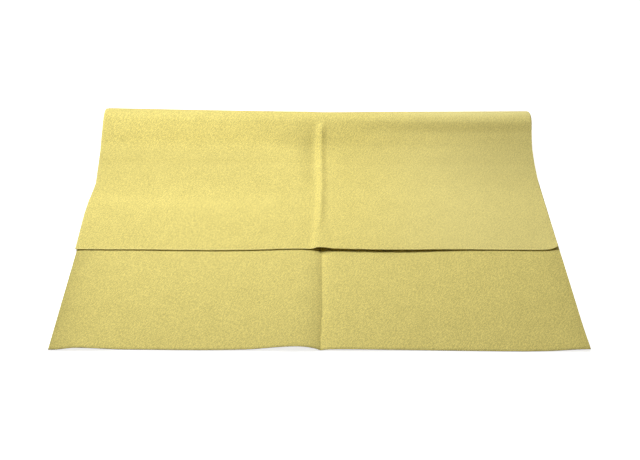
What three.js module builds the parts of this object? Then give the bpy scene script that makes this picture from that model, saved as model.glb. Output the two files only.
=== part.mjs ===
// A microfibre drying cloth, folded once so that a flap lies over the lower layer.
// Millimetres, +Z up. The cloth rests on z = 0, its open front edge faces -Y and its rolled fold +Y.
// The one sheet is cut at its fold lines into the stiff bands that turn against each other as it opens.
import * as THREE from 'three';

// The flat sheet.
const CLOTH_WIDTH = 320;
const CLOTH_LENGTH = 430;
const CLOTH_THICKNESS = 1;

// The fold, seen from the side: a loose roll at the back whose front face slopes down to a toe.
const EXPOSED_DEPTH = 100;   // lower layer left showing in front of the flap
const ROLL_RADIUS = 11.5;    // to the middle of the thickness
const SLOPE_ANGLE = 40;      // degrees from level, at the steepest place
const TOE_RADIUS = 36;       // where the slope runs out into the flat flap
const LAYER_GAP = 0.3;       // flap above the lower layer

// The fold lines: where each lies, as a share of its arc, and how many degrees it turns as the flap opens.
const ROLL_HINGES = [
  { share: 0.3, opening: 31.3 },
  { share: 0.5, opening: 45.6 },
  { share: 0.7, opening: 62.8 },
  { share: 0.9, opening: 74.6 },
];
const TOE_HINGE = { share: 0.75, opening: 22.5 };
const HINGE_CLEARANCE = 0.1; // left between the edges of two bands when the fold is open
const SEAM_SETBACK = 10;     // from the end of the toe to the cut at which the flap begins
const SEAM_GAP = 0.6;        // room for the drift between toe and flap while both turn

// The set crease down the middle: a valley with a soft hump beside it in the lower layer...
const HUMP_HEIGHT = 2.5;
const HUMP_X = -14;
const HUMP_LEFT_WIDTH = 32;
const HUMP_RIGHT_WIDTH = 14;
const HUMP_FADE_DEPTH = 165; // behind the front edge, where the hump has died away

// ...and a ridge in the flap, which grows out of the slope of the roll.
const RIDGE_HEIGHT = 2.2;
const RIDGE_X = 2;
const RIDGE_LEFT_WIDTH = 6;
const RIDGE_RIGHT_WIDTH = 4.5;

// The flap's free edge: a low wave to the right of the ridge and a corner that curls up.
const WAVE_HEIGHT = 1.2;
const WAVE_WIDTH = 120;
const WAVE_DEPTH = 45;
const CURL_HEIGHT = 3;
const CURL_WIDTH = 22;
const CURL_DEPTH = 16;

// How finely the solids are cut.
const ROW_STEP = 15;
const ARC_STEP = 8;          // degrees
const LEAST_STEP = 0.1;
const CLOTH_COLOUR = 0xe5d57c;

const radians = THREE.MathUtils.degToRad;
const slope = radians(SLOPE_ANGLE);
const halfWidth = CLOTH_WIDTH / 2;
const halfThickness = CLOTH_THICKNESS / 2;

// Lengths along the sheet, worked out from the shape of the fold.
const drop = ROLL_RADIUS * (1 + Math.cos(slope)) - CLOTH_THICKNESS - LAYER_GAP;
const slopeLength = (drop - TOE_RADIUS * (1 - Math.cos(slope))) / Math.sin(slope);
const rollArc = ROLL_RADIUS * (Math.PI + slope);
const toeArc = TOE_RADIUS * slope;
const rollReach = (ROLL_RADIUS + TOE_RADIUS) * Math.sin(slope) + slopeLength * Math.cos(slope);
const foldLength = rollArc + slopeLength + toeArc;
const lowerLength = (CLOTH_LENGTH - foldLength + rollReach + EXPOSED_DEPTH) / 2;
const flapLength = CLOTH_LENGTH - foldLength - lowerLength;
const frontY = -(lowerLength + ROLL_RADIUS + halfThickness) / 2;
const rollStart = lowerLength;
const slopeStart = rollStart + rollArc;
const toeStart = slopeStart + slopeLength;
const flapStart = toeStart + toeArc;

// The side view of the sheet, as runs that are straight or turn by an angle.
const RUNS = [
  { start: 0, length: lowerLength, turn: 0 },
  { start: rollStart, length: rollArc, turn: Math.PI + slope },
  { start: slopeStart, length: slopeLength, turn: 0 },
  { start: toeStart, length: toeArc, turn: -slope },
  { start: flapStart, length: flapLength, turn: 0 },
];

/** Moves a place {y, z, angle} on by a distance along one run. */
function advance(place, run, distance) {
  if (run.turn === 0) {
    return {
      y: place.y + distance * Math.cos(place.angle),
      z: place.z + distance * Math.sin(place.angle),
      angle: place.angle,
    };
  }
  const radius = run.length / run.turn;
  const angle = place.angle + distance / radius;
  return {
    y: place.y + radius * (Math.sin(angle) - Math.sin(place.angle)),
    z: place.z + radius * (Math.cos(place.angle) - Math.cos(angle)),
    angle,
  };
}

/** The middle of the thickness at a length along the sheet, before any relief is added. */
function pathAt(length) {
  let place = { y: frontY, z: halfThickness, angle: 0 };
  for (const run of RUNS) {
    const distance = Math.min(length - run.start, run.length);
    if (distance <= 0) break;
    place = advance(place, run, distance);
  }
  return place;
}

const smooth = THREE.MathUtils.smoothstep;

/** A rise from 0 to 1 at the peak and back to 0, with its own width on either side. */
function bump(x, peak, leftWidth, rightWidth) {
  return smooth(x, peak - leftWidth, peak) * (1 - smooth(x, peak, peak + rightWidth));
}

/** Height of the hump beside the valley, at a depth behind the front edge. */
function humpAt(x, depth) {
  return HUMP_HEIGHT * bump(x, HUMP_X, HUMP_LEFT_WIDTH, HUMP_RIGHT_WIDTH)
    * (1 - smooth(depth, 0, HUMP_FADE_DEPTH));
}

/** Height of the ridge, which starts on the slope and is full from the end of the toe on. */
function ridgeAt(x, length) {
  return RIDGE_HEIGHT * bump(x, RIDGE_X, RIDGE_LEFT_WIDTH, RIDGE_RIGHT_WIDTH)
    * smooth(length, slopeStart, flapStart);
}

/** Height of the flap's free edge: the wave and the curled corner. */
function edgeLiftAt(x, length) {
  const fromEdge = CLOTH_LENGTH - length;
  const waveMiddle = RIDGE_X + WAVE_WIDTH / 2;
  const wave = WAVE_HEIGHT * bump(x, waveMiddle, WAVE_WIDTH / 2, WAVE_WIDTH / 2)
    * (1 - smooth(fromEdge, 0, WAVE_DEPTH));
  const curl = CURL_HEIGHT * smooth(x, halfWidth - CURL_WIDTH, halfWidth)
    * (1 - smooth(fromEdge, 0, CURL_DEPTH));
  return wave + curl;
}

/** Shift of the sheet towards the inside of the fold, where it isn't plain. */
function reliefAt(x, length) {
  if (length < rollStart) return humpAt(x, length);
  if (length < slopeStart) return 0;
  const depth = pathAt(length).y - frontY;
  return -(humpAt(x, depth) + ridgeAt(x, length) + edgeLiftAt(x, length));
}

/** Even steps from one number to another, with both ends. */
function steps(from, to, count) {
  return Array.from({ length: count + 1 }, (_, i) => from + (to - from) * i / count);
}

/** The values between two ends in order, both ends kept and no two closer than the least step. */
function distinct(values, low, high) {
  const sorted = values.filter((v) => v > low + LEAST_STEP && v < high - LEAST_STEP).sort((a, b) => a - b);
  return [low, ...sorted.filter((v, i) => i === 0 || v - sorted[i - 1] > LEAST_STEP), high];
}

/** Places across the width at which a band is cut. */
function columns(...groups) {
  return distinct(groups.flat(), -halfWidth, halfWidth);
}

const humpColumns = [
  ...steps(HUMP_X - HUMP_LEFT_WIDTH, HUMP_X, 6),
  ...steps(HUMP_X, HUMP_X + HUMP_RIGHT_WIDTH, 5),
];
const ridgeColumns = [
  ...steps(RIDGE_X - RIDGE_LEFT_WIDTH, RIDGE_X, 4),
  ...steps(RIDGE_X, RIDGE_X + RIDGE_RIGHT_WIDTH, 4),
];
const edgeColumns = [
  ...steps(RIDGE_X + RIDGE_RIGHT_WIDTH, RIDGE_X + WAVE_WIDTH, 8),
  ...steps(halfWidth - CURL_WIDTH, halfWidth, 5),
];

/** Places along the sheet at which a band is cut, fine on the arcs and at the free edge. */
function rows(from, to) {
  const cuts = [];
  for (const run of RUNS) {
    const a = Math.max(from, run.start);
    const b = Math.min(to, run.start + run.length);
    if (b - a < 1e-6) continue;
    const turn = Math.abs(run.turn) * (b - a) / run.length;
    const count = Math.max(Math.ceil((b - a) / ROW_STEP), Math.ceil(turn / radians(ARC_STEP)));
    cuts.push(...steps(a, b, count));
  }
  cuts.push(...steps(CLOTH_LENGTH - CURL_DEPTH, CLOTH_LENGTH, 4));
  return distinct(cuts, from, to);
}

/** The closed slab of a piece of sheet, as a grid on either face and walls round the rim. */
function slab(across, along) {
  const points = [];
  for (const side of [1, -1]) {
    for (const length of along) {
      const { y, z, angle } = pathAt(length);
      for (const x of across) {
        const shift = reliefAt(x, length) + side * halfThickness;
        points.push(x, y - shift * Math.sin(angle), z + shift * Math.cos(angle));
      }
    }
  }
  const wide = across.length;
  const other = wide * along.length;
  const at = (i, j) => j * wide + i;
  const faces = [];
  const quad = (a, b, c, d) => faces.push(a, b, c, a, c, d);
  const right = wide - 1;
  const last = along.length - 1;
  for (let j = 0; j < last; j += 1) {
    for (let i = 0; i < right; i += 1) {
      quad(at(i, j), at(i + 1, j), at(i + 1, j + 1), at(i, j + 1));
      quad(other + at(i, j), other + at(i, j + 1), other + at(i + 1, j + 1), other + at(i + 1, j));
    }
    quad(at(0, j), at(0, j + 1), other + at(0, j + 1), other + at(0, j));
    quad(at(right, j), other + at(right, j), other + at(right, j + 1), at(right, j + 1));
  }
  for (let i = 0; i < right; i += 1) {
    quad(at(i, 0), other + at(i, 0), other + at(i + 1, 0), at(i + 1, 0));
    quad(at(i, last), at(i + 1, last), other + at(i + 1, last), other + at(i, last));
  }
  const geometry = new THREE.BufferGeometry();
  geometry.setAttribute('position', new THREE.Float32BufferAttribute(points, 3));
  geometry.setIndex(faces);
  geometry.computeVertexNormals();
  return geometry;
}

/** The cut at a fold line: its place along the sheet, and room for its edges to close up as it turns. */
function foldCut(start, arc, { share, opening }) {
  const gap = CLOTH_THICKNESS * Math.tan(radians(opening) / 2) + HINGE_CLEARANCE;
  return { at: start + arc * share, gap };
}

/** The bands of the sheet in order from the front of the lower layer to the front of the flap. */
function bands() {
  const cuts = [
    ...ROLL_HINGES.map((line) => foldCut(rollStart, rollArc, line)),
    foldCut(toeStart, toeArc, TOE_HINGE),
    { at: flapStart + SEAM_SETBACK, gap: SEAM_GAP },
  ];
  const rollNames = ROLL_HINGES.slice(1).map((_, i) => `roll_band_${i + 1}`);
  return ['lower_panel', ...rollNames, 'slope_band', 'toe_band', 'flap_panel'].map((name, i) => ({
    name,
    from: i === 0 ? 0 : cuts[i - 1].at + cuts[i - 1].gap / 2,
    to: i === cuts.length ? CLOTH_LENGTH : cuts[i].at - cuts[i].gap / 2,
  }));
}

/** The columns that a band needs for the relief that crosses it. */
function columnsFor(name) {
  if (name === 'lower_panel') return columns(humpColumns);
  if (name === 'flap_panel') return columns(humpColumns, ridgeColumns, edgeColumns);
  if (name.startsWith('roll')) return columns(steps(-halfWidth, halfWidth, 4));
  return columns(ridgeColumns);
}

const cloth = new THREE.Group();
cloth.name = 'drying_cloth';
for (const band of bands()) {
  const material = new THREE.MeshStandardMaterial({ color: CLOTH_COLOUR, roughness: 0.95, metalness: 0 });
  const mesh = new THREE.Mesh(slab(columnsFor(band.name), rows(band.from, band.to)), material);
  mesh.name = band.name;
  cloth.add(mesh);
}

export default cloth;
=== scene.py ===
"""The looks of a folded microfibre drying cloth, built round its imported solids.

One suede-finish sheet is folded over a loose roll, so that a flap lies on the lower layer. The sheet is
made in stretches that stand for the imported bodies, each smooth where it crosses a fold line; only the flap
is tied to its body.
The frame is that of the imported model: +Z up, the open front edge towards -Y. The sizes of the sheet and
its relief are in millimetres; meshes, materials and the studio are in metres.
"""

import logging
import math
from dataclasses import dataclass, field
from enum import Enum
from typing import Dict, List, Mapping, Optional, Sequence, Tuple, Union

import bpy
import numpy as np
from mathutils import Matrix, Vector

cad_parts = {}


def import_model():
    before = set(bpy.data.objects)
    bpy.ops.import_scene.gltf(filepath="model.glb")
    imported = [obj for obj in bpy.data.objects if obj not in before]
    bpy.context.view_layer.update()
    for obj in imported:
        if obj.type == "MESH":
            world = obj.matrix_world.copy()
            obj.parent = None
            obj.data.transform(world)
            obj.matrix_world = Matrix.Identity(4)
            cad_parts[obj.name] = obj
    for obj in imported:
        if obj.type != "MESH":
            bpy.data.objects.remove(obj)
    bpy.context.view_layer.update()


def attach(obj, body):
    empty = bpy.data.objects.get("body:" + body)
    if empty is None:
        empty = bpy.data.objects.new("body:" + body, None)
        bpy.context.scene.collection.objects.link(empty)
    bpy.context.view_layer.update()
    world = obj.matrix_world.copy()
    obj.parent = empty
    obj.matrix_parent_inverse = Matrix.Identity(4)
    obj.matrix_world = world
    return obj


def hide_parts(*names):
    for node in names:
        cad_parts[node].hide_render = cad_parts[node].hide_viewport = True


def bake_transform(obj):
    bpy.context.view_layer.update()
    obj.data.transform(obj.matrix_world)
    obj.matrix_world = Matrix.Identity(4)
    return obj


LOG = logging.getLogger("drying_cloth")
MM = 0.001

Array = np.ndarray
Pair = Tuple[float, float]
Triple = Tuple[float, float, float]
Value = Union[float, Array]
Item = bpy.types.Object
Finish = bpy.types.Material
Node = bpy.types.Node
Socket = bpy.types.NodeSocket
Tree = bpy.types.NodeTree
Inputs = Mapping[Union[str, int], object]


def smooth(value: Array, low: Value, high: Value) -> Array:
    """A rise from 0 at low to 1 at high with level ends."""
    t = np.clip((value - low) / (high - low), 0.0, 1.0)
    return t * t * (3 - 2 * t)


def bump(value: Array, peak: Value, left: Value, right: Value) -> Array:
    """A rise to 1 at the peak and back to 0, with its own width on either side."""
    return smooth(value, peak - left, peak) * (1 - smooth(value, peak, peak + right))


def between(pair: Pair, share: Array) -> Array:
    """The first of a pair where the share is 0, the second where it is 1."""
    return pair[0] + (pair[1] - pair[0]) * share


def feed(tree: Tree, node: Node, inputs: Inputs) -> None:
    """Sets inputs of a node.

    Args:
        tree: The node's tree.
        node: The node.
        inputs: For each input, by name or number, the socket to link to it or else its value.
    """
    for key, value in inputs.items():
        if isinstance(value, Socket):
            tree.links.new(value, node.inputs[key])
        else:
            node.inputs[key].default_value = value


def add(tree: Tree, kind: str, inputs: Inputs, **settings: str) -> Node:
    """Adds a node to a tree.

    Args:
        tree: Where the node goes.
        kind: The node's type.
        inputs: Its inputs, as feed takes them.
        settings: Properties of the node itself.

    Returns:
        The node.
    """
    node = tree.nodes.new(kind)
    for name, value in settings.items():
        setattr(node, name, value)
    feed(tree, node, inputs)
    return node


def put(name: str, data: bpy.types.ID) -> Item:
    """Makes an object and puts it into the scene.

    Args:
        name: Its name.
        data: Its mesh, light or camera.

    Returns:
        The object.
    """
    item = bpy.data.objects.new(name, data)
    bpy.context.scene.collection.objects.link(item)
    return item


def tinted(tree: Tree, share: Socket, low: object, high: object) -> Socket:
    """Adds a colour between two, each a socket or a value."""
    return add(tree, "ShaderNodeMix", {0: share, 6: low, 7: high}, data_type="RGBA").outputs[2]


class Hold(Enum):
    """How a stretch of the sheet is held."""

    LAID = "laid"
    FOLDED = "folded"


class Side(Enum):
    """The free edges of a stretch of the sheet."""

    LEFT = "left"
    RIGHT = "right"
    START = "start"
    END = "end"


class Line(Enum):
    """Lines across the sheet from which places along it are counted, named as in the fold."""

    FRONT = "lower_start"
    CROWN = "crown"
    SLOPE = "slope_start"
    TOE = "toe_start"
    FLAP = "flap_start"
    END = "length"


@dataclass(frozen=True)
class Fold:
    """The flat sheet and the side view that it is folded to, as in the solids."""

    width: float = 320
    length: float = 430
    thickness: float = 1
    exposed: float = 100
    roll_radius: float = 11.5
    slope_angle: float = math.radians(40)
    toe_radius: float = 36
    layer_gap: float = 0.3
    seam_setback: float = 10
    crown_share: float = 0.8
    lower_start: float = 0.0

    @property
    def roll_arc(self) -> float:
        """Length of sheet in the roll."""
        return self.roll_radius * (math.pi + self.slope_angle)

    @property
    def toe_arc(self) -> float:
        """Length of sheet in the toe."""
        return self.toe_radius * self.slope_angle

    @property
    def slope_length(self) -> float:
        """Length of the straight run from the roll to the toe."""
        drop = self.roll_radius * (1 + math.cos(self.slope_angle)) - self.thickness - self.layer_gap
        return (drop - self.toe_radius * (1 - math.cos(self.slope_angle))) / math.sin(self.slope_angle)

    @property
    def roll_start(self) -> float:
        """Length along the sheet at which the lower layer ends and the roll begins.

        Returns:
            The length.
        """
        reach = (self.roll_radius + self.toe_radius) * math.sin(self.slope_angle)
        reach += self.slope_length * math.cos(self.slope_angle)
        fold = self.roll_arc + self.slope_length + self.toe_arc
        return (self.length - fold + reach + self.exposed) / 2

    @property
    def slope_start(self) -> float:
        """Length along the sheet at the end of the roll."""
        return self.roll_start + self.roll_arc

    @property
    def toe_start(self) -> float:
        """Length along the sheet at the end of the slope."""
        return self.slope_start + self.slope_length

    @property
    def flap_start(self) -> float:
        """Length along the sheet at the end of the toe."""
        return self.toe_start + self.toe_arc

    @property
    def crown(self) -> float:
        """Length along the sheet at the top of the roll."""
        return self.on_roll(self.crown_share)

    @property
    def front(self) -> float:
        """Y of the lower layer's front edge."""
        return -(self.roll_start + self.roll_radius + self.thickness / 2) / 2

    def on_roll(self, share: float) -> float:
        """Length along the sheet at a share of the roll's arc."""
        return self.roll_start + self.roll_arc * share

    def on_toe(self, share: float) -> float:
        """Length along the sheet at a share of the toe's arc."""
        return self.toe_start + self.toe_arc * share

    def rim(self, x: Array, s: Array) -> Array:
        """Distance of places on the flat sheet from its nearest cut edge."""
        return np.minimum(self.width / 2 - np.abs(x), np.minimum(s, self.length - s))

    def path(self, s: Array) -> Tuple[Array, Array, Array]:
        """The middle of the thickness, before any relief.

        Args:
            s: Lengths along the sheet from the lower layer's front edge.

        Returns:
            Y, Z and the angle of the sheet at each length.
        """
        runs = (
            (self.lower_start, self.roll_start, 0.0),
            (self.roll_start, self.roll_arc, math.pi + self.slope_angle),
            (self.slope_start, self.slope_length, 0.0),
            (self.toe_start, self.toe_arc, -self.slope_angle),
            (self.flap_start, self.length - self.flap_start, 0.0),
        )
        y, z = np.full_like(s, self.front), np.full_like(s, self.thickness / 2)
        angle, heading = np.zeros_like(s), 0.0
        for start, length, turn in runs:
            d = np.clip(s - start, 0.0, length)
            if start == self.flap_start:
                d = np.maximum(s - start, 0.0)
            if turn == 0.0:
                y, z = y + d * math.cos(heading), z + d * math.sin(heading)
            else:
                radius = length / turn
                y = y + radius * (np.sin(heading + d / radius) - math.sin(heading))
                z = z + radius * (math.cos(heading) - np.cos(heading + d / radius))
                angle = angle + d / radius
            heading += turn
        return y, z, angle

    def point(self, s: float) -> Vector:
        """The middle of the thickness at one length, on the middle line of the cloth, in metres."""
        y, z, _ = self.path(np.array([s]))
        return Vector((0.0, float(y[0]), float(z[0]))) * MM


@dataclass(frozen=True)
class Patch:
    """A soft change over part of the sheet.

    It grows and fades over its spans, along the sheet from a line and across it from the middle. A span
    that is left out is a side on which it doesn't fade.
    """

    height: float
    line: Line
    start: Optional[Pair] = None
    end: Optional[Pair] = None
    left: Optional[Pair] = None
    right: Optional[Pair] = None

    def over(self, fold: Fold, x: Array, s: Array) -> Array:
        """The change at places on the sheet.

        Args:
            fold: The sheet.
            x: Across the sheet.
            s: Along the sheet.

        Returns:
            The change, up to the patch's height.
        """
        along, change = s - getattr(fold, self.line.value), np.full(np.shape(s), self.height)
        for value, grow, fade in ((along, self.start, self.end), (x, self.left, self.right)):
            if grow:
                change = change * smooth(value, *grow)
            if fade:
                change = change * (1 - smooth(value, *fade))
        return change


@dataclass(frozen=True)
class LowerLie:
    """How the lower layer lies: the valley of the set crease, a hump beside it, lifted corners and slack."""

    fold: Fold
    hump_height: float = 1.9
    hump_x: float = -14
    hump_left: float = 32
    hump_right: float = 28
    hump_fade: float = 165
    hump_curve: float = 1.9
    crease_x: float = 1.7
    crease_lean: float = 1.3
    crease_lean_depth: float = 45
    crease_lift: float = 1.3
    crease_round: float = 3.2
    crease_sides: Pair = (0.75, 0.65)
    crease_reach: Pair = (6, 75)
    crease_fade: float = 90
    left_corner: Patch = Patch(1.5, Line.FRONT, end=(0, 22), left=(-158, -144), right=(-144, -114))
    right_lift: float = 1.1
    right_reach: float = 26
    slack: float = 0.07
    slack_calm: float = 14
    slack_fade: Pair = (0.55, 0.9)
    slack_waves: Tuple[Triple, ...] = ((24, 41, 0.7), (-37, 19, 2.1))

    def lift(self, x: Array, depth: Array) -> Array:
        """Height of the lower layer above the surface it lies on.

        Args:
            x: Across the sheet.
            depth: Behind its front edge.

        Returns:
            Heights, none below 0.
        """
        crease = self.crease(depth)
        across = np.clip((x - self.hump_x) / (crease - self.hump_x), 0.0, 1.0)
        hump = smooth(x, self.hump_x - self.hump_left, self.hump_x) * (1 - across ** self.hump_curve)
        hump = self.hump_height * hump * (1 - smooth(depth, 0.0, self.hump_fade))
        away = np.abs(x - crease)
        valley = (1 - np.exp(-away / self.crease_round)) * (1 - smooth(away, *self.crease_reach))
        valley = valley * np.where(x < crease, *self.crease_sides)
        valley = self.crease_lift * valley * (1 - smooth(depth, self.crease_fade, self.hump_fade))
        return hump + valley + self.slack_lift(x, depth)

    def crease(self, depth: Array) -> Array:
        """X of the set crease, which leans to the left at the front edge."""
        return self.crease_x - self.crease_lean * (1 - smooth(depth, 0.0, self.crease_lean_depth))

    def cover(self, x: Array, depth: Array) -> Array:
        """Height of a flap that lies on the lower layer and bridges its crease.

        Args:
            x: Across the sheet.
            depth: Behind its front edge.

        Returns:
            Heights above a flap that lies level.
        """
        hump = bump(x, self.hump_x, self.hump_left, self.hump_right)
        hump = self.hump_height * hump * (1 - smooth(depth, 0.0, self.hump_fade))
        bridge = self.crease_sides[0] * (1 - smooth(np.abs(x - self.crease_x), *self.crease_reach))
        bridge = self.crease_lift * bridge * (1 - smooth(depth, self.crease_fade, self.hump_fade))
        return hump + bridge + self.slack_lift(x, depth)

    def slack_lift(self, x: Array, depth: Array) -> Array:
        """Height of the slack waves and of the two front corners.

        Args:
            x: Across the sheet.
            depth: Behind its front edge.

        Returns:
            Heights, none below 0.
        """
        fold = self.fold
        corner = np.hypot(x - fold.width / 2, depth)
        corners = self.left_corner.over(fold, x, depth)
        corners = corners + self.right_lift * (1 - smooth(corner, 0.0, self.right_reach))
        waves = sum(1 + np.sin(x / a + depth / b + phase) for a, b, phase in self.slack_waves)
        waves = self.slack * waves * (1 - np.exp(-np.abs(x) / self.slack_calm))
        return corners + waves * (1 - smooth(depth / fold.roll_start, *self.slack_fade))


@dataclass(frozen=True)
class UpperLie:
    """How the roll, the slope and the flap lie: the ridge of the set crease, the free edge, the loose roll.

    Places that aren't lengths are shares of the roll's arc or of the toe's.
    """

    fold: Fold
    lower: LowerLie
    ridge_x: Pair = (3.0, -0.3)
    ridge_lean: Pair = (45, 5)
    ridge_height: Pair = (2.2, 1.3)
    ridge_left: Pair = (6.5, 4.5)
    ridge_right: Pair = (5, 10)
    ridge_curves: Pair = (1.5, 1.7)
    ridge_front: float = 40
    ridge_start: float = 0.93
    ridge_growth: float = 7
    shoulder: Patch = Patch(0.9, Line.TOE, left=(-45, -15), right=(-15, -4))
    shoulder_loss: float = 0.9
    wave: Patch = Patch(1.15, Line.END, start=(-45, 0), left=(-12, 14), right=(54, 120))
    swell: Patch = Patch(0.8, Line.FLAP, start=(24, 60), end=(60, 96), right=(-50, 20))
    tuck: Patch = Patch(-1.4, Line.SLOPE, start=(-1.5, 8.5), end=(8.5, 32.5), left=(0, 100))
    curl_height: float = 1.5
    curl_back: float = 3.2
    curl_in: float = 0.5
    curl_width: float = 16
    curl_depth: float = 12
    curl_power: int = 4
    laid_start: float = 0.4
    laid_growth: float = 12
    slack: float = 0.3
    slack_wave: Pair = (31, 23)
    slack_start: float = 0.5
    slack_end: float = 0.3
    fill: Pair = (2.0, 3.8)
    fill_peak: float = 0.75
    fill_back: float = 22
    fill_front: Pair = (34, 50)
    fill_left: Pair = (-50, 20)
    crown_rise: float = 0.75
    crown_ends: Pair = (2.3, 0.9)
    crown_curves: Pair = (1.4, 2.0)
    crown_start: Pair = (0.25, 0.75)
    crown_end: float = 0.95
    crown_fade: float = 6
    sunk_place: Triple = (0.72, 0.5, 0.45)
    sag: float = 3.2
    sag_width: float = 2.0
    sag_limit: float = 0.985
    pinch: Patch = Patch(0.4, Line.CROWN, left=(-9, 4), right=(4, 64))

    def ridge(self, x: Array, s: Array) -> Array:
        """The set crease on the flap: a sharp crest that rounds off to the right at the front.

        Args:
            x: Across the sheet.
            s: Along the sheet.

        Returns:
            Heights above the flap.
        """
        fold, crest = self.fold, self.crest(s)
        front = smooth(s, fold.length - self.ridge_front, fold.length)
        before = np.clip((crest - x) / between(self.ridge_left, front), 0.0, 1.0)
        beyond = np.clip((x - crest) / between(self.ridge_right, front), 0.0, 1.0)
        left = (1 - before) ** self.ridge_curves[0]
        right = (1 - front) * (1 - beyond) ** self.ridge_curves[1] + front * (1 - beyond ** 2)
        grown = smooth(s, fold.on_roll(self.ridge_start), fold.slope_start + self.ridge_growth)
        return between(self.ridge_height, front) * grown * np.where(x < crest, left, right)

    def crest(self, s: Array) -> Array:
        """X of the ridge's crest, which runs a little askew."""
        fold, (start, end) = self.fold, self.ridge_lean
        return between(self.ridge_x, smooth(s, fold.flap_start + start, fold.length + end))

    def curl(self, x: Array, s: Array) -> Array:
        """How far the flap's right front corner is curled, from 0 to 1 at its tip."""
        near_side = np.clip((x - self.fold.width / 2) / self.curl_width + 1, 0.0, 1.0) ** self.curl_power
        return near_side * (1 - smooth(self.fold.length - s, 0.0, self.curl_depth))

    def lift(self, x: Array, s: Array, depth: Array) -> Array:
        """Height of the roll, slope and flap above their plain shape.

        Args:
            x: Across the sheet.
            s: Along the sheet.
            depth: Behind the lower layer's front edge.

        Returns:
            Heights, outwards from the fold.
        """
        fold = self.fold
        shoulder = self.shoulder.over(fold, x, s) * smooth(s, fold.crown, fold.toe_start)
        shoulder = shoulder * (1 - self.shoulder_loss * smooth(s, fold.flap_start, fold.length))
        patches = sum(patch.over(fold, x, s) for patch in (self.wave, self.swell, self.tuck)) + shoulder
        laid = smooth(s, fold.on_toe(self.laid_start), fold.flap_start + self.laid_growth)
        laid = self.lower.cover(x, depth) * laid
        slack = np.sin(x / self.slack_wave[0] + s / self.slack_wave[1])
        slack = slack * smooth(s, fold.on_roll(self.slack_start), fold.toe_start)
        slack = self.slack * slack * (1 - smooth(s, fold.on_toe(self.slack_end), fold.flap_start))
        left = 1 - smooth(x, *self.fill_left)
        fill = bump(s, fold.on_toe(self.fill_peak), self.fill_back, between(self.fill_front, left))
        fill = between(self.fill, left) * fill
        edge = self.ridge(x, s) + self.curl_height * self.curl(x, s)
        return edge + patches + laid + slack + fill + self.crown(x, s)

    def crown(self, x: Array, s: Array) -> Array:
        """Fullness of the loose roll, most at its left end, less what it sinks at its right end and crease.

        Args:
            x: Across the sheet.
            s: Along the sheet.

        Returns:
            Heights above the plain roll.
        """
        fold = self.fold
        share = x / (fold.width / 2)
        ends = zip((-share, share), self.crown_ends, self.crown_curves)
        full = self.crown_rise + sum(rise * np.maximum(side, 0.0) ** curve for side, rise, curve in ends)
        full = full * smooth(s, *(fold.on_roll(place) for place in self.crown_start))
        full = full * (1 - smooth(s, fold.on_roll(self.crown_end), fold.flap_start + self.crown_fade))
        peak, back, front = self.sunk_place
        on_roll = bump(s, fold.on_roll(peak), back * fold.roll_arc, front * fold.roll_arc)
        end = np.clip((x - fold.width / 2 + self.sag_width) / self.sag_width, 0.0, self.sag_limit)
        sunk = self.sag * (1 - np.sqrt(1 - end * end)) + self.pinch.over(fold, x, s)
        return full - sunk * on_roll


@dataclass(frozen=True)
class EdgeLines:
    """How far the cut edges reach, and how they stray from the straight fold."""

    fold: Fold
    front_line: Tuple[Patch, ...] = (
        Patch(1.5, Line.FRONT),
        Patch(0.9, Line.FRONT, left=(48, 118), right=(118, 154)),
        Patch(-0.6, Line.FRONT, left=(-152, -112), right=(-112, -52)),
    )
    flap_line: Tuple[Patch, ...] = (
        Patch(2.4, Line.END),
        Patch(-1.5, Line.END, right=(-160, -90)),
        Patch(-0.8, Line.END, left=(-152, -112), right=(-112, -62)),
        Patch(0.65, Line.END, left=(0, 36), right=(36, 86)),
        Patch(-1.3, Line.END, left=(55, 105)),
    )
    ripple: float = 0.2
    front_ripple: Pair = (21, 0.0)
    flap_ripple: Pair = (26, 1.0)
    front_fade: float = 90
    flap_marks: Triple = (22, 42, 60)
    shifts: Tuple[float, ...] = (-0.3, -0.3, 0.3, -0.2, -0.9, -0.8, -0.5, -1.25, -1.35, -1.1)
    narrowing: Tuple[float, ...] = (0.5, 0.5, -0.2, -0.2, -0.3, 0.3, 1.3, 0.35, 0.15, 0.3)

    def drift(self, s: Array) -> Tuple[Array, Array]:
        """How the side edges stray from the straight fold.

        Args:
            s: Along the sheet.

        Returns:
            The shift of the whole width and the narrowing at each side.
        """
        fold = self.fold
        marks = [0.0, fold.roll_start, fold.crown, fold.slope_start, fold.toe_start, fold.flap_start]
        marks += [*(fold.flap_start + mark for mark in self.flap_marks), fold.length]
        return np.interp(s, marks, self.shifts), np.interp(s, marks, self.narrowing)

    def reach(self, x: Array, s: Array) -> Array:
        """How far the sheet is drawn out to the front at its two free ends.

        Args:
            x: Across the sheet.
            s: Along the sheet.

        Returns:
            Distances towards the front.
        """
        fold, lines = self.fold, []
        ripples = (self.front_ripple, self.flap_ripple)
        for patches, (wave, phase) in zip((self.front_line, self.flap_line), ripples):
            wander = self.ripple * np.sin(x / wave + phase)
            lines.append(sum(patch.over(fold, x, s) for patch in patches) + wander)
        front, flap = lines
        return front * (1 - smooth(s, 0.0, self.front_fade)) + flap * smooth(s, fold.flap_start, fold.length)


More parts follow.
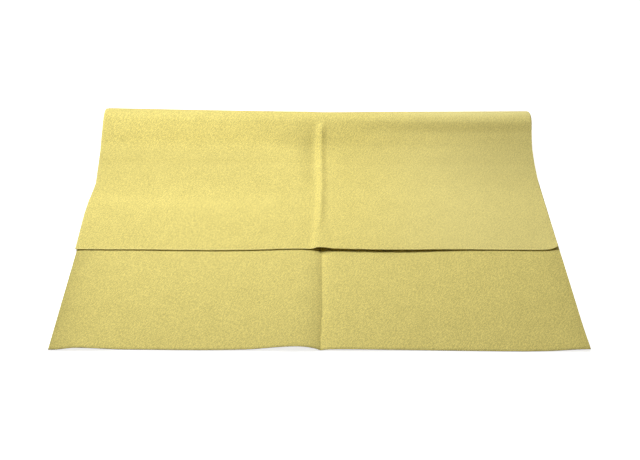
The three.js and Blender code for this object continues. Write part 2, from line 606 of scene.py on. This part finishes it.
@dataclass(frozen=True)
class PaintedLightAndPaleEdges:
    """Painted light and shade on the sheet's colour, at the crease, the edges, the ridge and in bands, a
    painted sheen on the right, and pale raw fibres at the cut edges.
    """

    fold: Fold
    lower: LowerLie
    upper: UpperLie
    # Painted shade left of the set crease and painted light right of it, with a thin painted dark line along
    # the crease.
    crease_tones: Pair = (-0.165, 0.09)
    crease_spread: Pair = (6, 5)
    painted_crease_line: float = -0.08
    painted_crease_line_width: float = 0.8
    # Painted shade along the lower layer's front edge and towards its two side edges.
    rim: Patch = Patch(-0.3, Line.FRONT, end=(0.2, 0.9))
    side_tones: Pair = (-0.2, -0.1)
    side_spread: float = 9
    lower_fade: float = 60
    roll_middle: float = 0.5
    ridge_start: float = 0.95
    ridge_growth: float = 3
    # A painted highlight strip on the ridge's left side, painted shade on its right flank and in a hollow
    # beside it.
    strip_tone: float = 0.12
    strip_left: Pair = (-6, -3.5)
    strip_inside: Pair = (-0.9, -3)
    strip_outside: Pair = (0.5, 2.5)
    strip_fade: Pair = (50, 10)
    flank: Patch = Patch(-0.03, Line.FLAP, left=(0, 1.6), right=(1.6, 5.6))
    hollow: Patch = Patch(-0.12, Line.TOE, (-18, 0), (0, 80), (-21, -9), (-9, -3))
    # Bands of painted light and shade across the roll, slope and flap, on the left half and towards the
    # right.
    bands: Tuple[Patch, ...] = (
        Patch(0.15, Line.SLOPE, (-6, 3), (9, 29), right=(-70, 5)),
        Patch(-0.05, Line.CROWN, (-10, 0), (0, 6), right=(-70, 5)),
        Patch(0.03, Line.FLAP, (31, 43), (43, 59), right=(-70, 5)),
        Patch(-0.1, Line.TOE, (-2, 14), (14, 74), right=(-70, 5)),
        Patch(-0.15, Line.TOE, (-12, 12), (12, 82), left=(60, 150)),
        Patch(0.07, Line.SLOPE, (3, 11), (11, 20), (5, 30), (85, 150)),
        Patch(-0.06, Line.TOE, (4, 14), (14, 64), (5, 30), (85, 150)),
    )
    cut_pale: float = 0.3
    cut_width: float = 1.2
    # A painted sheen: the paler colour over the right half from the roll's top forward, most at the roll's
    # top.
    painted_light: Tuple[Patch, ...] = (
        Patch(0.24, Line.CROWN, start=(-11.0392, -2.2078), left=(10, 110)),
        Patch(0.28, Line.CROWN, (-13.247, 0), (0, 7.0651), left=(20, 110)),
    )

    def tone(self, x: Array, s: Array) -> Array:
        """The painted light and shade, as factors on the colour, on the lower layer to the middle of the roll
        and on the upper from there.

        Args:
            x: Across the sheet.
            s: Along the sheet.

        Returns:
            Factors close to 1.
        """
        fold, beyond = self.fold, x - self.lower.crease(s)
        spread = np.where(beyond < 0, *self.crease_spread)
        lower = np.where(beyond < 0, *self.crease_tones) * np.exp(-np.abs(beyond) / spread)
        lower = lower + self.painted_crease_line * np.exp(-(beyond / self.painted_crease_line_width) ** 2)
        inset = fold.width / 2 - np.abs(x)
        sides = np.where(x < 0, *self.side_tones) * np.exp(-inset / self.side_spread)
        lower = lower + sides + self.rim.over(fold, x, s)
        lower = lower * (1 - smooth(s, fold.roll_start - self.lower_fade, fold.roll_start))
        upper = self._ridge_tone(x, s) + sum(band.over(fold, x, s) for band in self.bands)
        return 1 + np.where(s < fold.on_roll(self.roll_middle), lower, upper)

    def _ridge_tone(self, x: Array, s: Array) -> Array:
        """Painted light and shade at the ridge: a painted highlight strip on its left side, painted shade on
        its right and in a hollow beside it.

        Args:
            x: Across the sheet.
            s: Along the sheet.

        Returns:
            Tones to add.
        """
        fold, beyond = self.fold, x - self.upper.crest(s)
        fade = smooth(s, *(fold.length - distance for distance in self.strip_fade))
        strip = 1 - smooth(beyond, between(self.strip_inside, fade), between(self.strip_outside, fade))
        strip = self.strip_tone * strip * smooth(beyond, *self.strip_left)
        flank = self.flank.over(fold, beyond, s) * (1 - smooth(s, fold.flap_start, fold.length))
        grown = smooth(s, fold.on_roll(self.ridge_start), fold.slope_start + self.ridge_growth)
        return (strip + flank + self.hollow.over(fold, beyond, s)) * grown

    def pale(self, x: Array, s: Array) -> Array:
        """Share of the paler colour: pale raw fibres at the cut edges, and a painted sheen over the right
        half from the roll's top forward.

        Args:
            x: Across the sheet.
            s: Along the sheet.

        Returns:
            Shares from 0 to 1.
        """
        fold = self.fold
        cut = self.cut_pale * (1 - np.clip(fold.rim(x, s) / self.cut_width, 0.0, 1.0))
        cut = cut * smooth(s, fold.roll_start, fold.slope_start)
        return np.maximum(cut, sum(patch.over(fold, x, s) for patch in self.painted_light))


@dataclass(frozen=True)
class Relief:
    """The real sheet: the plain fold with the lie of its layers and edges, its painted light and shade and
    pale edges, and its thickness.
    """

    fold: Fold
    lower: LowerLie
    upper: UpperLie
    edges: EdgeLines
    nap: PaintedLightAndPaleEdges
    edge_thickness: float = 0.35
    edge_taper: float = 3
    normal_step: float = 0.05

    def surface(self, x: Array, s: Array) -> Array:
        """The middle of the thickness of the real sheet.

        Args:
            x: Across the sheet.
            s: Along the sheet.

        Returns:
            Points, with one more axis than x and s.
        """
        fold, upper = self.fold, self.upper
        y, z, angle = fold.path(s)
        depth = y - fold.front
        shift = np.where(s >= fold.roll_start, -upper.lift(x, s, depth), self.lower.lift(x, depth))
        sideways, narrow = self.edges.drift(s)
        curl = upper.curl(x, s)
        across = x * (1 - narrow / (fold.width / 2)) + sideways - upper.curl_in * curl
        y = y - shift * np.sin(angle) - self.edges.reach(x, s) + upper.curl_back * curl
        return np.stack((across, y, z + shift * np.cos(angle)), axis=-1)

    def half_thickness(self, x: Array, s: Array) -> Array:
        """Half the thickness of the sheet, less at the cut edges where it is pressed."""
        full = smooth(self.fold.rim(x, s), 0.0, self.edge_taper)
        return between((self.edge_thickness, self.fold.thickness), full) / 2

    def normals(self, x: Array, s: Array) -> Array:
        """Unit normals of the sheet towards the inside of the fold, by small differences.

        Args:
            x: Across the sheet.
            s: Along the sheet.

        Returns:
            Normals, with one more axis than x and s.
        """
        e = self.normal_step
        across = self.surface(x + e, s) - self.surface(x - e, s)
        along = self.surface(x, s + e) - self.surface(x, s - e)
        n = np.cross(across, along)
        return n / np.linalg.norm(n, axis=-1, keepdims=True)


@dataclass(frozen=True)
class Pattern:
    """One noise pattern of the nap: its features per metre, their stretch, octaves and direction."""

    scale: float
    stretch: float = 1.0
    detail: float = 0.0
    rough: float = 0.5
    turn: float = math.radians(58)

    def value(self, tree: Tree, place: Socket) -> Socket:
        """Adds the pattern to a material.

        Args:
            tree: Where the nodes go.
            place: Coordinates in metres.

        Returns:
            The pattern's value.
        """
        turned = {"Vector": place, "Rotation": (0.0, 0.0, self.turn), "Scale": (self.stretch, 1.0, 1.0)}
        mapping = add(tree, "ShaderNodeMapping", turned, vector_type="TEXTURE")
        sizes = {"Scale": self.scale, "Detail": self.detail, "Roughness": self.rough}
        noise = add(tree, "ShaderNodeTexNoise", {"Vector": mapping.outputs["Vector"], **sizes})
        return noise.outputs["Fac"]


@dataclass(frozen=True)
class Suede:
    """The suede finish: a matte nap with a fine mottle, faint brush marks and pale fibres, with the sheet's
    painted light, shade and sheen on its colour.
    """

    colour: Triple = (0.88, 0.757, 0.242)
    shade: Triple = (0.51, 0.43, 0.124)
    # The paler colour of the raw fibres at the cut edges, also used for the painted sheen.
    fibre_and_sheen: Triple = (0.88, 0.79, 0.36)
    roughness: float = 0.92
    specular: float = 0.12
    sheen: float = 0.3
    sheen_roughness: float = 0.4
    sheen_tint: Triple = (1.0, 0.95, 0.75)
    grain: Pattern = Pattern(1000.0, 2.2)
    fine: Pattern = Pattern(1800.0, 1.2)
    fine_share: float = 0.7
    mottle_span: Pair = (0.34, 0.66)
    brush: Pattern = Pattern(110.0, 1.5, 2.0, 0.6)
    brush_span: Pair = (0.3, 0.7)
    brush_share: float = 0.14
    fibre_patches: Pattern = Pattern(300.0, detail=1.0, turn=0.0)
    bump_strength: float = 0.55
    bump_height: float = 0.22 * MM

    def material(self) -> Finish:
        """Builds the finish on the flat sheet's own coordinates.

        Returns:
            The material of the sheet.
        """
        material, tree, shader = self._blank("microfibre_suede")
        flat = add(tree, "ShaderNodeUVMap", {}, uv_map="flat").outputs["UV"]
        grain, fine, brush = (pattern.value(tree, flat) for pattern in (self.grain, self.fine, self.brush))
        nap = add(tree, "ShaderNodeMix", {0: self.fine_share, 2: grain, 3: fine}).outputs[0]
        spread = []
        for value, (low, high) in ((nap, self.mottle_span), (brush, self.brush_span)):
            span = {"Value": value, "From Min": low, "From Max": high}
            spread.append(add(tree, "ShaderNodeMapRange", span).outputs["Result"])
        both = add(tree, "ShaderNodeMix", {0: self.brush_share, 2: spread[0], 3: spread[1]}).outputs[0]
        tint = tinted(tree, both, (*self.shade, 1.0), (*self.colour, 1.0))
        # The pale attribute mixes in the paler colour for the raw cut edges and the painted sheen; the nap
        # attribute scales the colour by the painted light and shade.
        pale = add(tree, "ShaderNodeAttribute", {}, attribute_name="pale").outputs["Fac"]
        tone = add(tree, "ShaderNodeAttribute", {}, attribute_name="nap").outputs["Fac"]
        paled = tinted(tree, pale, tint, (*self.fibre_and_sheen, 1.0))
        painted_light = add(tree, "ShaderNodeHueSaturation", {"Value": tone, "Color": paled}).outputs["Color"]
        height = {"Strength": self.bump_strength, "Distance": self.bump_height, "Height": nap}
        raised = add(tree, "ShaderNodeBump", height).outputs["Normal"]
        feed(tree, shader, {"Base Color": painted_light, "Normal": raised})
        return material

    def fibre_material(self) -> Finish:
        """Builds the paler finish of the loose fibres at the cut edges.

        Returns:
            The material of the fibres.
        """
        material, tree, shader = self._blank("suede_edge_fibre")
        place = add(tree, "ShaderNodeTexCoord", {}).outputs["Object"]
        patches = self.fibre_patches.value(tree, place)
        feed(tree, shader, {"Base Color": tinted(tree, patches, (*self.colour, 1.0), (*self.fibre_and_sheen, 1.0))})
        return material

    def _blank(self, name: str) -> Tuple[Finish, Tree, Node]:
        """Starts a material with what is the same all over the finish.

        Args:
            name: The material's name.

        Returns:
            The material, its tree and its shader.
        """
        material = bpy.data.materials.new(name)
        material.use_nodes = True
        tree = material.node_tree
        shader = tree.nodes["Principled BSDF"]
        sheen = {"Sheen Weight": self.sheen, "Sheen Roughness": self.sheen_roughness}
        feed(tree, shader, {"Roughness": self.roughness, "Specular IOR Level": self.specular, **sheen,
                            "Sheen Tint": (*self.sheen_tint, 1.0)})
        return material, tree, shader


@dataclass
class Stretch:
    """One stretch of the sheet, from one cut or seam to the next.

    It rides on its one body when it has no bend; a stretch with a bend names two bodies and the lengths of
    its bend, but keeps the place it was built in.
    """

    name: str
    start: float
    end: float
    bodies: Tuple[str, ...]
    bend: Optional[Pair]
    nodes: Tuple[str, ...]
    edges: Tuple[Side, ...]
    hold: Hold
    relief: Relief
    column_counts: Tuple[int, ...] = (84, 54, 80, 7, 14)
    crease_columns: Pair = (-24, 12)
    right_columns: Pair = (12, 5)
    row_step: float = 1.7
    fine_step: float = 0.55
    fine_edge: float = 12
    guide_step: float = 1.2
    guide_levels: Triple = (-0.8, 0.0, 0.8)
    guide_depth: float = 0.05
    guide_splay: float = 0.2
    edge_step: float = 0.1
    mesh_object: Optional[Item] = field(default=None, init=False)

    @property
    def flat(self) -> Pair:
        """Width and length of the stretch as it was cut, in metres."""
        return self.relief.fold.width * MM, (self.end - self.start) * MM

    def columns(self) -> Array:
        """Places across the width, closer together at the crease and at the right end of the roll.

        Returns:
            The places in order.
        """
        half = self.relief.fold.width / 2
        marks = (-half, *self.crease_columns, *(half - inset for inset in self.right_columns), half)
        spans = zip(marks, marks[1:], self.column_counts)
        return np.concatenate([*(np.linspace(a, b, n, endpoint=False) for a, b, n in spans), [half]])

    def rows(self) -> Array:
        """Lengths along the stretch, closer together on the roll and at the flap's free edge.

        Returns:
            The lengths in order.
        """
        fold = self.relief.fold
        edge = fold.length - self.fine_edge
        inside = [b for b in (fold.roll_start, fold.slope_start, edge) if self.start < b < self.end]
        breaks = [self.start, *inside, self.end]
        rows: List[Array] = []
        for low, high in zip(breaks, breaks[1:]):
            fine = fold.roll_start <= low < fold.slope_start or low >= edge
            count = max(2, math.ceil((high - low) / (self.fine_step if fine else self.row_step)))
            rows.append(np.linspace(low, high, count, endpoint=False))
        return np.concatenate([*rows, [self.end]])

    def build(self, material: Finish) -> Item:
        """Makes the closed slab of the stretch, with the flat sheet's coordinates as its UV map.

        Args:
            material: The finish of the sheet.

        Returns:
            The stretch's object.
        """
        columns, rows = self.columns(), self.rows()
        x, s = np.meshgrid(columns, rows)
        points, normals = self.relief.surface(x, s), self.relief.normals(x, s)
        offset = self.relief.half_thickness(x, s)[..., None] * normals
        verts = np.concatenate([points + offset, points - offset]).reshape(-1, 3) * MM
        faces, kinds = self._faces(len(columns), len(rows))
        mesh = bpy.data.meshes.new(self.name)
        mesh.from_pydata(verts.tolist(), [], faces.tolist())
        flat = np.stack((x, s), axis=-1).reshape(-1, 2)
        outwards = np.concatenate([normals, -normals]).reshape(-1, 3)
        self._dress(mesh, np.concatenate([flat, flat * (-1, 1)]), outwards, kinds)
        mesh.materials.append(material)
        self.mesh_object = put(self.name, mesh)
        return self.mesh_object

    def _faces(self, wide: int, tall: int) -> Tuple[Array, Array]:
        """Quads of both faces and of the four walls.

        Args:
            wide: Points in a row.
            tall: Rows.

        Returns:
            The quads, and for each 1 on a face or 0 on a wall.
        """
        count = wide * tall
        index = np.arange(count).reshape(tall, wide)
        a, b, c, d = index[:-1, :-1], index[:-1, 1:], index[1:, 1:], index[1:, :-1]
        inner = np.stack((a, b, c, d), -1).reshape(-1, 4)
        outer = (np.stack((a, d, c, b), -1) + count).reshape(-1, 4)
        left, right = (index[:-1, 0], index[1:, 0]), (index[1:, -1], index[:-1, -1])
        start, end = (index[0, 1:], index[0, :-1]), (index[-1, :-1], index[-1, 1:])
        sides = (left, right, start, end)
        wall = np.concatenate([np.stack((a, b, b + count, a + count), -1) for a, b in sides])
        kinds = np.concatenate([np.ones(len(inner) + len(outer), int), np.zeros(len(wall), int)])
        return np.concatenate([inner, outer, wall]), kinds

    def _dress(self, mesh: bpy.types.Mesh, flat: Array, normals: Array, kinds: Array) -> None:
        """Adds the UV map, the pale edges with the painted sheen, the painted light and shade, and the
        shading normals.

        Args:
            mesh: The slab.
            flat: Flat coordinates of each point.
            normals: The sheet's normal at each point, outwards.
            kinds: For each quad, 1 on a face or 0 on a wall.
        """
        corners = np.empty(len(mesh.loops), np.int32)
        mesh.loops.foreach_get("vertex_index", corners)
        layer = mesh.uv_layers.new(name="flat")
        layer.data.foreach_set("uv", (flat[corners] * MM).astype(np.float32).ravel())
        x, s = flat[:len(flat) // 2].T
        # The nap attribute carries the painted light and shade; the pale one, the pale cut edges and the
        # painted sheen.
        for name, values in (("pale", self.relief.nap.pale(x, s)), ("nap", self.relief.nap.tone(x, s))):
            attribute = mesh.attributes.new(name, "FLOAT", "POINT")
            attribute.data.foreach_set("value", np.concatenate([values, values]).astype(np.float32))
        mesh.polygons.foreach_set("use_smooth", np.ones(len(kinds), bool))
        mesh.update()
        flat_normals = np.empty(len(kinds) * 3, np.float32)
        mesh.polygons.foreach_get("normal", flat_normals)
        wall = np.repeat(flat_normals.reshape(-1, 3), 4, axis=0)
        chosen = np.where(np.repeat(kinds, 4)[:, None] == 1, normals[corners], wall)
        mesh.normals_split_custom_set(chosen.tolist())

    def edge_lines(self) -> Tuple[Array, Array, List[Tuple[int, int]]]:
        """Lines along the cut edges, three across the thickness, for the loose fibres.

        Returns:
            Points in metres, the direction out of the sheet at each, and the pairs that are joined.
        """
        fold = self.relief.fold
        half = fold.width / 2
        along = np.arange(self.start, self.end, self.guide_step)
        across = np.arange(-half, half, self.guide_step)
        lines = {
            Side.LEFT: (np.full_like(along, -half), along, -1, 0),
            Side.RIGHT: (np.full_like(along, half), along, 1, 0),
            Side.START: (across, np.full_like(across, self.start), 0, -1),
            Side.END: (across, np.full_like(across, self.end), 0, 1),
        }
        points, ways, pairs, e = [], [], [], self.edge_step
        for side in self.edges:
            x, s, dx, ds = lines[side]
            base, n = self.relief.surface(x, s), self.relief.normals(x, s)
            way = base - self.relief.surface(x - e * dx, s - e * ds)
            way = way / np.linalg.norm(way, axis=-1, keepdims=True)
            offset = self.relief.half_thickness(x, s)[..., None] * n
            for level in self.guide_levels:
                first = sum(len(p) for p in points)
                points.append(base + level * offset - self.guide_depth * way)
                ways.append(way + self.guide_splay * level * n)
                pairs.extend((first + i, first + i + 1) for i in range(len(x) - 1))
        return np.concatenate(points) * MM, np.concatenate(ways), pairs

    def follow(self, obj: Item) -> None:
        """Ties an object to the stretch's body when the stretch has no bend, and otherwise only bakes the
        object's place.

        Args:
            obj: The stretch itself or its fibres.
        """
        if self.bend is None:
            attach(obj, self.bodies[0])
            return
        fold, (first, second), (start, end) = self.relief.fold, self.bodies, self.bend
        fold.point(start)
        fold.point(end)
        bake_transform(obj)


@dataclass
class EdgeFibres:
    """Loose fibres along the cut edges, placed by a node tree."""

    spacing: float = 0.3 * MM
    length: float = 0.5 * MM
    radius: float = 0.045 * MM
    spread: float = 0.75
    seed: int = 7
    sides: int = 3
    scales: Pair = (0.45, 1.15)

    def tree(self, material: Finish) -> Tree:
        """Builds the node tree that sets a tapered fibre at every step of the edge lines.

        Args:
            Builds the node tree that sets a tapered strand at every step of the edge lines.

        Returns:
            The tree, with its sizes as named inputs.
        """
        tree = bpy.data.node_groups.new("edge_fibres", "GeometryNodeTree")
        kinds = {"Geometry": "Geometry", "Spacing": "Float", "Fibre Length": "Float", "Fibre Radius": "Float",
                 "Spread": "Float", "Seed": "Int"}
        for name, kind in kinds.items():
            tree.interface.new_socket(name, in_out="INPUT", socket_type=f"NodeSocket{kind}")
        tree.interface.new_socket("Geometry", in_out="OUTPUT", socket_type="NodeSocketGeometry")
        given = add(tree, "NodeGroupInput", {}).outputs
        curve = add(tree, "GeometryNodeMeshToCurve", {"Mesh": given["Geometry"]}).outputs["Curve"]
        steps = add(tree, "GeometryNodeResampleCurve",
                    {"Curve": curve, "Length": given["Spacing"]}, mode="LENGTH").outputs["Curve"]
        cone = add(tree, "GeometryNodeMeshCone",
                   {"Vertices": self.sides, "Radius Top": 0.0, "Radius Bottom": given["Fibre Radius"],
                    "Depth": given["Fibre Length"]}).outputs["Mesh"]
        way = add(tree, "GeometryNodeInputNamedAttribute", {"Name": "outward"}, data_type="FLOAT_VECTOR")
        stray = add(tree, "FunctionNodeRandomValue",
                    {"Min": (-1.0, -1.0, -1.0), "Max": (1.0, 1.0, 1.0), "Seed": given["Seed"]},
                    data_type="FLOAT_VECTOR").outputs["Value"]
        spread = add(tree, "ShaderNodeVectorMath", {0: stray, "Scale": given["Spread"]}, operation="SCALE")
        aim = add(tree, "ShaderNodeVectorMath",
                  {0: way.outputs["Attribute"], 1: spread.outputs["Vector"]}, operation="ADD")
        turn = add(tree, "FunctionNodeAlignRotationToVector", {"Vector": aim.outputs["Vector"]}, axis="Z")
        scale = add(tree, "FunctionNodeRandomValue",
                    {2: self.scales[0], 3: self.scales[1], "Seed": given["Seed"]}, data_type="FLOAT")
        placed = add(tree, "GeometryNodeInstanceOnPoints",
                     {"Points": steps, "Instance": cone, "Rotation": turn.outputs["Rotation"],
                      "Scale": scale.outputs[1]}).outputs["Instances"]
        real = add(tree, "GeometryNodeRealizeInstances", {"Geometry": placed}).outputs["Geometry"]
        finished = add(tree, "GeometryNodeSetMaterial", {"Geometry": real, "Material": material})
        add(tree, "NodeGroupOutput", {"Geometry": finished.outputs["Geometry"]})
        return tree

    def grow(self, stretch: Stretch, tree: Tree) -> Item:
        """Grows the fibres of one stretch and turns them into a plain mesh.

        Args:
            stretch: The stretch of sheet with the cut edges.
            tree: The node tree.

        Returns:
            The fibres' object.
        """
        points, ways, pairs = stretch.edge_lines()
        lines = bpy.data.meshes.new("edge_lines")
        lines.from_pydata(points.tolist(), pairs, [])
        outward = lines.attributes.new("outward", "FLOAT_VECTOR", "POINT")
        outward.data.foreach_set("vector", ways.astype(np.float32).ravel())
        guide = put("edge_lines", lines)
        modifier = guide.modifiers.new("fibres", "NODES")
        modifier.node_group = tree
        sizes = {"Spacing": self.spacing, "Fibre Length": self.length, "Fibre Radius": self.radius,
                 "Spread": self.spread, "Seed": self.seed}
        for item in tree.interface.items_tree:
            if item.in_out == "INPUT" and item.name in sizes:
                modifier[item.identifier] = sizes[item.name]
        graph = bpy.context.evaluated_depsgraph_get()
        mesh = bpy.data.meshes.new_from_object(guide.evaluated_get(graph))
        bpy.data.objects.remove(guide)
        bpy.data.meshes.remove(lines)
        mesh.name = f"{stretch.name}_fibres"
        return put(mesh.name, mesh)


@dataclass
class Cloth:
    """The whole cloth: its stretches in order from the front of the lower layer to the front of the flap."""

    relief: Relief
    finish: Suede
    fibres: EdgeFibres
    roll_seams: Tuple[float, ...] = (0.2, 0.4, 0.6, 0.8, 1.0)
    toe_seam: float = 0.5
    strip_limit: float = 10 * MM

    def stretches(self) -> List[Stretch]:
        """The stretches, each between two seams that fall half way between fold lines.

        Returns:
            The stretches in order.
        """
        fold, relief = self.relief.fold, self.relief
        sides = (Side.LEFT, Side.RIGHT)
        turn = [fold.on_roll(share) for share in self.roll_seams]
        half_toe, seam = fold.on_toe(self.toe_seam), fold.flap_start + fold.seam_setback
        return [
            Stretch("lower_layer", 0.0, turn[1], ("lower", "roll_1"), (turn[0], turn[1]),
                    ("lower_panel",), (*sides, Side.START), Hold.LAID, relief),
            Stretch("roll_back", turn[1], turn[2], ("roll_1", "roll_2"), (turn[1], turn[2]),
                    ("roll_band_1",), sides, Hold.FOLDED, relief),
            Stretch("roll_crown", turn[2], turn[3], ("roll_2", "roll_3"), (turn[2], turn[3]),
                    ("roll_band_2",), sides, Hold.FOLDED, relief),
            Stretch("roll_slope", turn[3], half_toe, ("roll_3", "slope"), (turn[3], turn[4]),
                    ("roll_band_3", "slope_band"), sides, Hold.FOLDED, relief),
            Stretch("roll_toe", half_toe, seam, ("slope", "toe"), (half_toe, fold.flap_start),
                    ("toe_band",), sides, Hold.FOLDED, relief),
            Stretch("flap", seam, fold.length, ("flap",), None,
                    ("flap_panel",), (*sides, Side.END), Hold.LAID, relief),
        ]

    def build(self) -> List[Item]:
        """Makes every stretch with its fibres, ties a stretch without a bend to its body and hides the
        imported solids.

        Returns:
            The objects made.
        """
        suede, fibre_tree = self.finish.material(), self.fibres.tree(self.finish.fibre_material())
        made: List[Item] = []
        strips: List[Item] = []
        sheets: List[Tuple[Stretch, List[Item]]] = []
        for stretch in self.stretches():
            sheet = stretch.build(suede)
            fringe = self.fibres.grow(stretch, fibre_tree)
            for obj in (sheet, fringe):
                stretch.follow(obj)
            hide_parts(*stretch.nodes)
            made.extend((sheet, fringe))
            if stretch.flat[1] < self.strip_limit:
                strips.extend((sheet, fringe))
            else:
                sheets.append((stretch, [fringe]))
            counts = (len(obj.data.polygons) for obj in (sheet, fringe))
            LOG.info("%s: %d faces, %d fibre faces", sheet.name, *counts)
        sheets[0][1].extend(strips)
        return made


@dataclass(frozen=True)
class Lamp:
    """One soft box."""

    name: str
    place: Triple
    aim: Triple
    size: float
    power: float

    def build(self) -> Item:
        """Makes the lamp, turned to its aim.

        Returns:
            The lamp's object.
        """
        data = bpy.data.lights.new(self.name, "AREA")
        data.shape, data.size, data.energy = "SQUARE", self.size, self.power
        lamp = put(self.name, data)
        lamp.location = self.place
        lamp.rotation_euler = (Vector(self.aim) - Vector(self.place)).to_track_quat("-Z", "Y").to_euler()
        return lamp


@dataclass
class Studio:
    """A white table, soft light and the camera."""

    lens: float = 64.69
    sensor: float = 36.0
    clip: Pair = (0.01, 50.0)
    camera_place: Triple = (-0.0069, -0.6479, 0.4404)
    pitch: float = math.radians(34.34)
    yaw: float = math.radians(0.67)
    roll: float = math.radians(-0.49)
    sky: float = 0.05
    table_reach: float = 6.0
    table_drop: float = 0.1 * MM
    table_grey: float = 0.8
    table_roughness: float = 0.9
    table_glow: float = 0.8
    table_glow_span: Pair = (0.5, 2.0)
    lamps: Sequence[Lamp] = (
        Lamp("near_box", (-0.12, 0.10, 0.40), (-0.12, 0.10, 0.0), 0.2, 1.37),
        Lamp("over_box", (0.0, 0.12, 0.95), (0.0, 0.0, 0.0), 0.9, 4.43),
        Lamp("back_box", (0.15, 0.80, 0.60), (0.05, 0.05, 0.0), 0.5, 1.3),
    )

    def build(self) -> None:
        """Makes the table, the world, the lamps and the camera."""
        self._floor()
        self._world()
        for lamp in self.lamps:
            lamp.build()
        self._camera()
        bpy.context.scene.view_settings.view_transform = "Standard"

    def _floor(self) -> None:
        """Makes the white table, which keeps the cloth's shadow."""
        mesh = bpy.data.meshes.new("table_top")
        r, z = self.table_reach, -self.table_drop
        mesh.from_pydata([(-r, -r, z), (r, -r, z), (r, r, z), (-r, r, z)], [], [(0, 1, 2, 3)])
        floor = put("table_top", mesh)
        material = bpy.data.materials.new("white_table")
        material.use_nodes = True
        tree = material.node_tree
        shader = tree.nodes["Principled BSDF"]
        place = add(tree, "ShaderNodeTexCoord", {}).outputs["Object"]
        away = add(tree, "ShaderNodeVectorMath", {0: place}, operation="LENGTH").outputs["Value"]
        low, high = self.table_glow_span
        span = {"Value": away, "From Min": low, "From Max": high, "To Min": self.table_glow}
        glow = add(tree, "ShaderNodeMapRange", span).outputs["Result"]
        shown = add(tree, "ShaderNodeMath", {0: self._seen(tree), 1: glow}, operation="MULTIPLY")
        finish = {"Base Color": (*[self.table_grey] * 3, 1.0), "Roughness": self.table_roughness}
        light = {"Emission Color": (1.0, 1.0, 1.0, 1.0), "Emission Strength": shown.outputs["Value"]}
        feed(tree, shader, {**finish, "Specular IOR Level": 0.0, **light})
        mesh.materials.append(material)

    def _seen(self, tree: Tree) -> Socket:
        """Adds a value of 1 for what the camera sees, straight, mirrored or through glass, and 0 for light.

        Args:
            tree: Where the nodes go.

        Returns:
            The value.
        """
        path = tree.nodes.new("ShaderNodeLightPath")
        seen = path.outputs["Is Camera Ray"]
        for ray in ("Is Glossy Ray", "Is Transmission Ray"):
            either = add(tree, "ShaderNodeMath", {0: seen, 1: path.outputs[ray]}, operation="MAXIMUM")
            seen = either.outputs["Value"]
        return seen

    def _world(self) -> None:
        """Makes the even light of the room, seen as white by the camera."""
        world = bpy.data.worlds.new("room")
        bpy.context.scene.world = world
        world.use_nodes = True
        tree = world.node_tree
        span = {"Value": self._seen(tree), "To Min": self.sky, "To Max": 1.0}
        level = add(tree, "ShaderNodeMapRange", span).outputs["Result"]
        feed(tree, tree.nodes["Background"], {"Color": (1.0, 1.0, 1.0, 1.0), "Strength": level})

    def _camera(self) -> None:
        """Makes the camera at the photograph's place and angle."""
        p, w, r = self.pitch, self.yaw, self.roll
        ahead = Vector((math.sin(w) * math.cos(p), math.cos(w) * math.cos(p), -math.sin(p)))
        right = Vector((math.cos(w), -math.sin(w), 0.0))
        down = ahead.cross(right)
        across = right * math.cos(r) + down * math.sin(r)
        below = down * math.cos(r) - right * math.sin(r)
        data = bpy.data.cameras.new("camera")
        data.lens, data.sensor_width, data.sensor_fit = self.lens, self.sensor, "HORIZONTAL"
        data.clip_start, data.clip_end = self.clip
        camera = put("camera", data)
        axes = Matrix((across, -below, -ahead)).transposed().to_4x4()
        camera.matrix_world = Matrix.Translation(self.camera_place) @ axes
        bpy.context.scene.camera = camera


def main() -> None:
    """Builds the studio and the cloth."""
    logging.basicConfig(level=logging.INFO, format="%(name)s: %(message)s")
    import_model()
    Studio().build()
    fold = Fold()
    lower = LowerLie(fold)
    upper = UpperLie(fold, lower)
    relief = Relief(fold, lower, upper, EdgeLines(fold), PaintedLightAndPaleEdges(fold, lower, upper))
    cloth = Cloth(relief, Suede(), EdgeFibres())
    for obj in cloth.build():
        LOG.info("made %s", obj.name)


if __name__ == "__main__":
    main()
